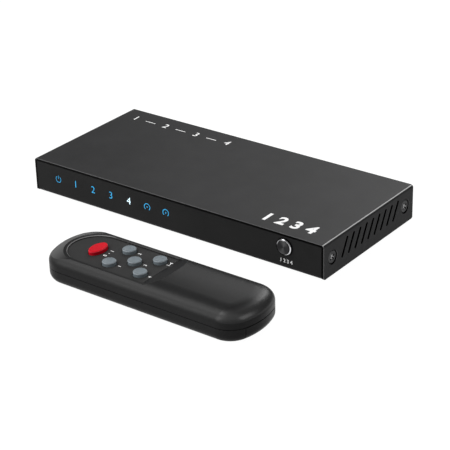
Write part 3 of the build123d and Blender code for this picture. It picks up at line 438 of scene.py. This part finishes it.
def rim_mask(g):
    """1 on a key's rounded rim, fading out towards its flat face and its upright side."""
    up = g.math("ABSOLUTE", g.facing()[2])
    return g.math("MULTIPLY", g.fall(up, *KEY_FACE_LEAN), g.rise(up, *KEY_RIM_LEAN))


def light_rim(g, tone):
    """A grey key's rim, lighter than its face, which is a painted highlight."""
    return g.mix_colour(rim_mask(g), tone, RIM_HIGHLIGHT_GREY)


def light_red_rim(g, tone):
    """The red key's rim, lighter than its face, which is a painted highlight."""
    return g.mix_colour(rim_mask(g), tone, RIM_HIGHLIGHT_RED)


# Finishes

TONE_VARIATION = 0.1
WEAR_RADIUS = 0.12
WEAR_LIGHTNESS = 2.6
WEAR_PATCHES = 700.0
WEAR_LEAST_SHARE = 0.25
COAT_ROUGHNESS = 0.3
LIT_ROUGHNESS = 0.5
LIT_CELLS = 900.0
LIT_SHADES = (0.85, 1.1)


def surface(name, colour, roughness, metallic=0.0, specular=0.5, patch=90.0, grain=2200.0,
            grain_depth=0.004, roughness_spread=0.06, wear=0.0, coat=0.0, stretch=None, layers=(),
            crown=None):
    """A finish with tone patches, fine grain in its bump and roughness, and lighter worn edges.

    Metallic and coat are a number or a function of the graph. Crown is a function that gives a height.
    """
    g = Graph(name)
    shader = g.node("ShaderNodeBsdfPrincipled")
    g.feed(shader.inputs["Metallic"], metallic(g) if callable(metallic) else metallic)
    shader.inputs["Specular IOR Level"].default_value = specular
    g.feed(shader.inputs["Coat Weight"], coat(g) if callable(coat) else coat)
    shader.inputs["Coat Roughness"].default_value = COAT_ROUGHNESS
    fine = g.noise(grain, 3.0, 0.6, stretch)
    tone = g.mix_colour(g.spread(g.noise(patch, 3.0), 0.0, 1.0), shade(colour, 1 - TONE_VARIATION),
                        shade(colour, 1 + TONE_VARIATION))
    tone = g.mix_colour(g.spread(fine, 0.0, 0.5), tone, shade(colour, 1 + TONE_VARIATION * 2))
    if wear:
        patches = g.spread(g.noise(WEAR_PATCHES, 4.0), WEAR_LEAST_SHARE * wear, wear)
        worn = g.math("MULTIPLY", g.edge_mask(WEAR_RADIUS), patches)
        tone = g.mix_colour(worn, tone, shade(colour, WEAR_LIGHTNESS))
    for layer in layers:
        tone = layer(g, tone)
    g.link(tone, shader.inputs["Base Color"])
    g.link(g.spread(fine, roughness - roughness_spread, roughness + roughness_spread),
           shader.inputs["Roughness"])
    before = None if crown is None else g.bump(crown(g), CROWN_HEIGHT)
    g.link(g.bump(fine, grain_depth, before), shader.inputs["Normal"])
    g.link(shader.outputs["BSDF"], g.output.inputs["Surface"])
    return g.material


def lit_mark(name, colour, strength):
    """A mark in the film that a lamp behind it lights."""
    g = Graph(name)
    shader = g.node("ShaderNodeBsdfPrincipled")
    shader.inputs["Roughness"].default_value = LIT_ROUGHNESS
    cells = g.spread(g.noise(LIT_CELLS, 2.0), 0.0, 1.0)
    tone = g.mix_colour(cells, shade(colour, LIT_SHADES[0]), shade(colour, LIT_SHADES[1]))
    g.link(tone, shader.inputs["Base Color"])
    g.link(tone, shader.inputs["Emission Color"])
    shader.inputs["Emission Strength"].default_value = strength
    g.link(shader.outputs["BSDF"], g.output.inputs["Surface"])
    return g.material


def clear_plastic(name, colour, roughness, clearness):
    """A tinted clear plastic with faint flow lines."""
    material = surface(name, colour, roughness, patch=400.0, grain=1500.0, grain_depth=0.001)
    shader = material.node_tree.nodes["Principled BSDF"]
    shader.inputs["Transmission Weight"].default_value = clearness
    return material


PAINT = (0.026, 0.026, 0.0265)
BRUSHED_ACROSS = (1.0, 14.0, 14.0)

MATERIALS = {
    "case_paint": surface("case_paint", PAINT, 0.42, specular=0.06, wear=0.3),
    "front_film": surface("front_film", (0.018, 0.018, 0.018), 0.38, specular=0.03, grain_depth=0.001),
    "black_steel": surface("black_steel", (0.03, 0.03, 0.031), 0.4, metallic=dark_metal, specular=0.1,
                           layers=[screw_head]),
    "bright_steel": surface("bright_steel", (0.55, 0.55, 0.56), 0.3, metallic=1.0, wear=0.6),
    "foot_rubber": surface("foot_rubber", (0.02, 0.02, 0.02), 0.85, grain=1500.0, grain_depth=0.03),
    "bezel_chrome": surface("bezel_chrome", (0.72, 0.72, 0.74), 0.26, metallic=1.0,
                            roughness_spread=0.02, grain_depth=0.0005, layers=[half_dark_ring]),
    "button_metal": surface("button_metal", (0.02, 0.02, 0.021), 0.35, metallic=0.9,
                            layers=[turned_face]),
    "black_plastic": surface("black_plastic", (0.02, 0.02, 0.02), 0.5, wear=0.3),
    "lamp_epoxy": clear_plastic("lamp_epoxy", (0.35, 0.55, 0.85), 0.15, 0.6),
    "receiver_epoxy": surface("receiver_epoxy", (0.03, 0.02, 0.04), 0.12),
    "circuit_board": surface("circuit_board", (0.015, 0.1, 0.045), 0.4, layers=[copper_traces]),
    "standoff_brass": surface("standoff_brass", (0.7, 0.55, 0.25), 0.3, metallic=1.0, wear=0.5),
    "socket_steel": surface("socket_steel", (0.6, 0.6, 0.6), 0.28, metallic=1.0, stretch=BRUSHED_ACROSS,
                            wear=0.4),
    "tongue_plastic": surface("tongue_plastic", (0.03, 0.03, 0.03), 0.45, layers=[gilt_contacts]),
    "pin_metal": surface("pin_metal", (0.75, 0.75, 0.75), 0.15, metallic=1.0, wear=0.4),
    "chip_epoxy": surface("chip_epoxy", (0.03, 0.03, 0.033), 0.6, grain=4000.0, wear=0.3),
    "pad_silicone": surface("pad_silicone", (0.35, 0.4, 0.45), 0.7),
    "sink_aluminium": surface("sink_aluminium", (0.6, 0.6, 0.62), 0.35, metallic=1.0,
                              stretch=BRUSHED_ACROSS, wear=0.5),
    "ferrite": surface("ferrite", (0.09, 0.09, 0.1), 0.6, grain=5000.0, grain_depth=0.008),
    "can_aluminium": surface("can_aluminium", (0.7, 0.7, 0.72), 0.25, metallic=1.0, wear=0.4),
    "handset_shell": surface("handset_shell", (0.0155, 0.0155, 0.0157), 0.33, specular=0.062,
                             grain_depth=0.002, coat=glossy_end, crown=crowned_top,
                             layers=[light_sides, light_nose]),
    "handset_panel": surface("handset_panel", (0.031, 0.031, 0.031), 0.5, specular=0.035),
    "mat_silicone": surface("mat_silicone", (0.16, 0.16, 0.17), 0.6),
    "red_silicone": surface("red_silicone", (0.485, 0.003, 0.012), 0.5, specular=0.08,
                            layers=[light_red_rim]),
    "grey_silicone": surface("grey_silicone", (0.143, 0.169, 0.187), 0.5, specular=0.25,
                             layers=[light_rim]),
    "cell_steel": surface("cell_steel", (0.42, 0.42, 0.43), 0.42, metallic=1.0, stretch=BRUSHED_ACROSS),
    "contact_metal": surface("contact_metal", (0.7, 0.65, 0.5), 0.25, metallic=1.0, wear=0.4),
    "emitter_epoxy": clear_plastic("emitter_epoxy", (0.75, 0.75, 0.8), 0.1, 0.8),
    "window_plastic": surface("window_plastic", (0.03, 0.006, 0.01), 0.12),
}

# The cover's paint turns to black metal on the cut edges and slot walls, to keep their painted shade dark.
COVER_PAINT = surface("cover_paint", PAINT, 0.42, metallic=inside_the_sheet, specular=0.045,
                      layers=[light_folds, dark_cuts])


def dress_nodes():
    for name, node in nodes.items():
        for place in node.material_slots:
            slot = place.material.name.split(".")[0]
            place.material = COVER_PAINT if name == "top_cover" else MATERIALS[slot]


dress_nodes()


# Prints

# Heights, line widths and insets from the case's edges are in millimetres
INK_THICKNESS = 0.03
LETTER_SCALE = 1.37
THIN = -0.03
FIRM = 0.04
BOLD = 0.3
ARC_STEPS = 40
DOT_STEPS = 16
MARK_HEIGHT = 3.3
MARK_STROKE = 0.3
ON_MARK_STROKE = 0.21
ON_MARK_RADIUS_SHARE = 0.42
ON_MARK_ARC = (125, 415)
ON_MARK_UPRIGHT = (0.05, 0.52)
RING_MARK_RADIUS_SHARE = 0.45
RING_MARK_ARC = (-50, 230)
INPUT_COUNT = 4
BRIGHT_INPUT = 4
BUTTON_PRINT = 1.55
BUTTON_PRINT_RIGHT = 0.75
BUTTON_PRINT_DROP = 6.15
TOP_PRINT = 6.2
TOP_PRINT_INSET = (22.05, 8.6)
SCALE_PRINT = 3.9
SCALE_PRINT_INSET = (34.7, 8.35)
SCALE_LINE_WIDTH = 0.03
KEY_PRINT = 1.45
POWER_PRINT = 1.6

# Each key's print: its name, its figures, and how far it lies beyond the key's middle, to the right and back
POWER_KEY_PRINT = ("handset_on_numbers", "0 - 1", 5.07, 0.35)
MODE_KEY_PRINT = ("handset_range", "1-4", 4.45, 0.35)
NUMBER_KEY_PRINTS = {
    "number_key_one": ("handset_number_1", "1", 4.7, 0.55),
    "number_key_two": ("handset_number_2", "2", 4.7, 0.6),
    "number_key_three": ("handset_number_3", "3", 4.8, 0.6),
    "number_key_four": ("handset_number_4", "4", 4.45, 0.3),
}

INK = surface("ink_white", (0.78, 0.78, 0.78), 0.6, grain_depth=0.002)
LIT = lit_mark("lit_blue", (0.02, 0.35, 0.68), 0.43)
LIT_BRIGHT = lit_mark("lit_bright", (0.6, 0.8, 0.9), 1.0)

# Turns from a flat drawing to the face that it lies on
FRONT_FACE = Matrix(((1, 0, 0), (0, 0, -1), (0, 1, 0)))
TOP_FACE = Matrix(((1, 0, 0), (0, 1, 0), (0, 0, 1)))
PANEL_FACE = Matrix(((0, -1, 0), (1, 0, 0), (0, 0, 1)))


def on_front(x, z):
    return (x, FILM_FACE - INK_THICKNESS / 2, z)


def on_top(x, y):
    return (x, y, CASE_HIGH.z + INK_THICKNESS / 2)


def on_panel(x, y):
    return (x, y, PANEL_TOP + INK_THICKNESS / 2)


def settle(name, curve, place, facing, body, material):
    """Turns a flat drawing in millimetres into a thin print on a face of the object."""
    curve.extrude = INK_THICKNESS / 2
    drawn = bpy.data.objects.new(name + "_outline", curve)
    bpy.context.scene.collection.objects.link(drawn)
    bpy.context.view_layer.update()
    mesh = bpy.data.meshes.new_from_object(drawn.evaluated_get(bpy.context.evaluated_depsgraph_get()))
    bpy.data.objects.remove(drawn)
    turn = facing.to_4x4()
    turn.translation = Vector(place) * MM
    mesh.transform(Matrix.Scale(MM, 4))
    mesh.transform(turn)
    mesh.materials.clear()
    mesh.materials.append(material)
    piece = bpy.data.objects.new(name, mesh)
    bpy.context.scene.collection.objects.link(piece)
    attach(piece, body)


def number(name, text, height, place, facing, body, material, weight=0.0, spacing=1.0):
    """Plain figures, as tall as height, centred on place. Weight thickens each line on both sides."""
    curve = bpy.data.curves.new(name + "_outline", "FONT")
    curve.body = text
    curve.align_x = "CENTER"
    curve.align_y = "CENTER"
    curve.size = height * LETTER_SCALE
    curve.offset = weight
    curve.space_character = spacing
    settle(name, curve, place, facing, body, material)


def arc_band(radius, width, start, end):
    """The outline of a bent stroke, from one angle to another."""
    outer = radius + width / 2
    inner = radius - width / 2
    angles = [math.radians(start + (end - start) * i / ARC_STEPS) for i in range(ARC_STEPS + 1)]
    there = [(outer * math.cos(a), outer * math.sin(a)) for a in angles]
    back = [(inner * math.cos(a), inner * math.sin(a)) for a in reversed(angles)]
    return there + back


def disc(radius):
    angles = [math.tau * i / DOT_STEPS for i in range(DOT_STEPS)]
    return [(radius * math.cos(a), radius * math.sin(a)) for a in angles]


def stroke(x0, x1, y0, y1):
    return [(x0, y0), (x1, y0), (x1, y1), (x0, y1)]


def symbol(name, outlines, place, facing, body, material):
    """A drawing made of closed outlines, in millimetres about its own middle."""
    curve = bpy.data.curves.new(name + "_outline", "CURVE")
    curve.dimensions = "2D"
    curve.fill_mode = "BOTH"
    for outline in outlines:
        line = curve.splines.new("POLY")
        line.points.add(len(outline) - 1)
        for point, (x, y) in zip(line.points, outline):
            point.co = (x, y, 0, 1)
        line.use_cyclic_u = True
    settle(name, curve, place, facing, body, material)


def on_off_mark(size, width):
    """A ring that is open at its top, with an upright stroke in the opening."""
    upright = stroke(-width / 2, width / 2, size * ON_MARK_UPRIGHT[0], size * ON_MARK_UPRIGHT[1])
    return [arc_band(size * ON_MARK_RADIUS_SHARE, width, *ON_MARK_ARC), upright]


def open_ring_mark(size, width):
    """A ring that is open at its foot, round a dot."""
    return [arc_band(size * RING_MARK_RADIUS_SHARE, width, *RING_MARK_ARC), disc(width)]


def make_front_marks():
    """The on mark, the four input numbers and the two ring marks, each before its lamp."""
    low, high = box_mm("indicator_lamps")
    first = low.x + LAMP_RADIUS
    pitch = (high.x - LAMP_RADIUS - first) / (LAMP_COUNT - 1)
    places = [on_front(first + pitch * i, (low.z + high.z) / 2) for i in range(LAMP_COUNT)]
    symbol("on_mark", on_off_mark(MARK_HEIGHT, ON_MARK_STROKE), places[0], FRONT_FACE, "case", LIT)
    for i in range(1, INPUT_COUNT + 1):
        number(f"input_mark_{i}", str(i), MARK_HEIGHT, places[i], FRONT_FACE, "case",
               LIT_BRIGHT if i == BRIGHT_INPUT else LIT, weight=THIN)
    for i in range(1, 3):
        symbol(f"ring_mark_{i}", open_ring_mark(MARK_HEIGHT, MARK_STROKE), places[INPUT_COUNT + i],
               FRONT_FACE, "case", LIT)


def make_case_prints():
    """Figures under the button, large ones at the top's front right and a scale at its rear left."""
    below_button = on_front(BUTTON.x + BUTTON_PRINT_RIGHT, BUTTON.z - BUTTON_PRINT_DROP)
    number("button_numbers", "1 2 3 4", BUTTON_PRINT, below_button, FRONT_FACE, "case", INK, weight=FIRM)
    front_right = on_top(CASE_HIGH.x - TOP_PRINT_INSET[0], CASE_LOW.y + TOP_PRINT_INSET[1])
    number("top_numbers", "1 2 3 4", TOP_PRINT, front_right, TOP_FACE, "case", INK, weight=BOLD,
           spacing=1.05)
    rear_left = on_top(CASE_LOW.x + SCALE_PRINT_INSET[0], CASE_HIGH.y - SCALE_PRINT_INSET[1])
    number("top_scale", "1 — 2 — 3 — 4", SCALE_PRINT, rear_left, TOP_FACE, "case", INK,
           weight=SCALE_LINE_WIDTH, spacing=1.58)


def print_beside(key, name, text, right, back, height=KEY_PRINT, spacing=1.0):
    """Figures on the key panel, beside one of its keys."""
    middle = middle_mm(key)
    number(name, text, height, on_panel(middle.x + right, middle.y + back), PANEL_FACE, "handset", INK,
           weight=FIRM, spacing=spacing)


def make_panel_prints():
    print_beside("power_key", *POWER_KEY_PRINT, height=POWER_PRINT, spacing=1.3)
    for key, key_print in NUMBER_KEY_PRINTS.items():
        print_beside(key, *key_print)
    print_beside("mode_key", *MODE_KEY_PRINT, spacing=1.1)


make_front_marks()
make_case_prints()
make_panel_prints()


# Studio

LAMP_AIM = Vector((0.01, -0.02, 0.01))
BACKDROP_GREY = 0.25
FLOOR_REACH = 4.0
FLOOR_WHITE_SHARE = 0.85
FLOOR_WHITE = 1.15
FLOOR_GREY = 0.55


def make_camera():
    """The photograph's view. Its distances are measured from the middle of the case's underside."""
    azimuth = math.radians(CAMERA_AZIMUTH)
    elevation = math.radians(CAMERA_ELEVATION)
    roll = math.radians(CAMERA_ROLL)
    back = Vector((math.sin(azimuth) * math.cos(elevation), -math.cos(azimuth) * math.cos(elevation),
                   math.sin(elevation)))
    level = Vector((0, 0, 1)).cross(back).normalized()
    upright = back.cross(level)
    right = math.cos(roll) * level + math.sin(roll) * upright
    up = math.cos(roll) * upright - math.sin(roll) * level
    place = right * CAMERA_RIGHT + up * CAMERA_UP + back * CAMERA_BACK
    place.z += UNDERSIDE
    data = bpy.data.cameras.new("camera")
    data.lens = CAMERA_LENS
    data.sensor_width = SENSOR_WIDTH
    data.clip_start = NEAREST_SEEN
    data.clip_end = FARTHEST_SEEN
    camera = bpy.data.objects.new("camera", data)
    bpy.context.scene.collection.objects.link(camera)
    turn = Matrix((right, up, back)).transposed().to_4x4()
    turn.translation = place * MM
    camera.matrix_world = turn
    bpy.context.scene.camera = camera


def make_floor():
    """Pale paper that looks white to the camera and in reflections but still takes the shadow."""
    r = FLOOR_REACH
    mesh = bpy.data.meshes.new("floor")
    mesh.from_pydata([(-r, -r, 0), (r, -r, 0), (r, r, 0), (-r, r, 0)], [], [(0, 1, 2, 3)])
    floor = bpy.data.objects.new("floor", mesh)
    bpy.context.scene.collection.objects.link(floor)
    g = Graph("floor_paper")
    paper = g.node("ShaderNodeBsdfDiffuse")
    g.feed(paper.inputs["Color"], grey(FLOOR_GREY))
    glow = g.node("ShaderNodeEmission")
    g.feed(glow.inputs["Strength"], FLOOR_WHITE)
    path = g.node("ShaderNodeLightPath")
    mirrored = g.math("MAXIMUM", path.outputs["Is Glossy Ray"], path.outputs["Is Transmission Ray"])
    seen = g.math("MAXIMUM", path.outputs["Is Camera Ray"], mirrored)
    blend = g.node("ShaderNodeMixShader")
    g.feed(blend.inputs["Fac"], g.math("MULTIPLY", seen, FLOOR_WHITE_SHARE))
    g.link(paper.outputs["BSDF"], blend.inputs[1])
    g.link(glow.outputs["Emission"], blend.inputs[2])
    g.link(blend.outputs["Shader"], g.output.inputs["Surface"])
    mesh.materials.append(g.material)


def make_world():
    """A plain grey backdrop that gives a little light from all sides."""
    world = bpy.data.worlds.new("studio")
    world.use_nodes = True
    bpy.context.scene.world = world
    backdrop = world.node_tree.nodes["Background"]
    backdrop.inputs["Color"].default_value = (*grey(BACKDROP_GREY), 1.0)


def make_lamp(name, azimuth, elevation, distance, width, height, power):
    """A soft box that faces the object. Azimuth 0 is behind the case and 90 is to its right."""
    data = bpy.data.lights.new(name, "AREA")
    data.shape = "RECTANGLE"
    data.size = width
    data.size_y = height
    data.energy = power
    lamp = bpy.data.objects.new(name, data)
    bpy.context.scene.collection.objects.link(lamp)
    turn = math.radians(azimuth)
    rise = math.radians(elevation)
    outward = Vector((math.sin(turn) * math.cos(rise), math.cos(turn) * math.cos(rise), math.sin(rise)))
    lamp.location = LAMP_AIM + outward * distance
    lamp.rotation_mode = "QUATERNION"
    lamp.rotation_quaternion = (-outward).to_track_quat("-Z", "Y")


make_camera()
make_floor()
make_world()
make_lamp("high_left", azimuth=240, elevation=55, distance=0.8, width=0.35, height=0.35, power=3.5)
make_lamp("front_left", azimuth=210, elevation=32, distance=0.8, width=0.35, height=0.35, power=2.2)
make_lamp("low_front_left", azimuth=210, elevation=12, distance=0.8, width=0.35, height=0.35, power=1.15)
make_lamp("rear", azimuth=0, elevation=35, distance=0.4, width=0.18, height=0.18, power=0.5)
make_lamp("rear_left", azimuth=-30, elevation=35, distance=0.4, width=0.18, height=0.18, power=0.21)
make_lamp("right", azimuth=84, elevation=31, distance=0.6, width=0.34, height=0.28, power=0.54)
make_lamp("rear_corner", azimuth=-16, elevation=26, distance=0.5, width=0.18, height=0.18, power=0.19)
bpy.context.scene.view_settings.view_transform = "Standard"
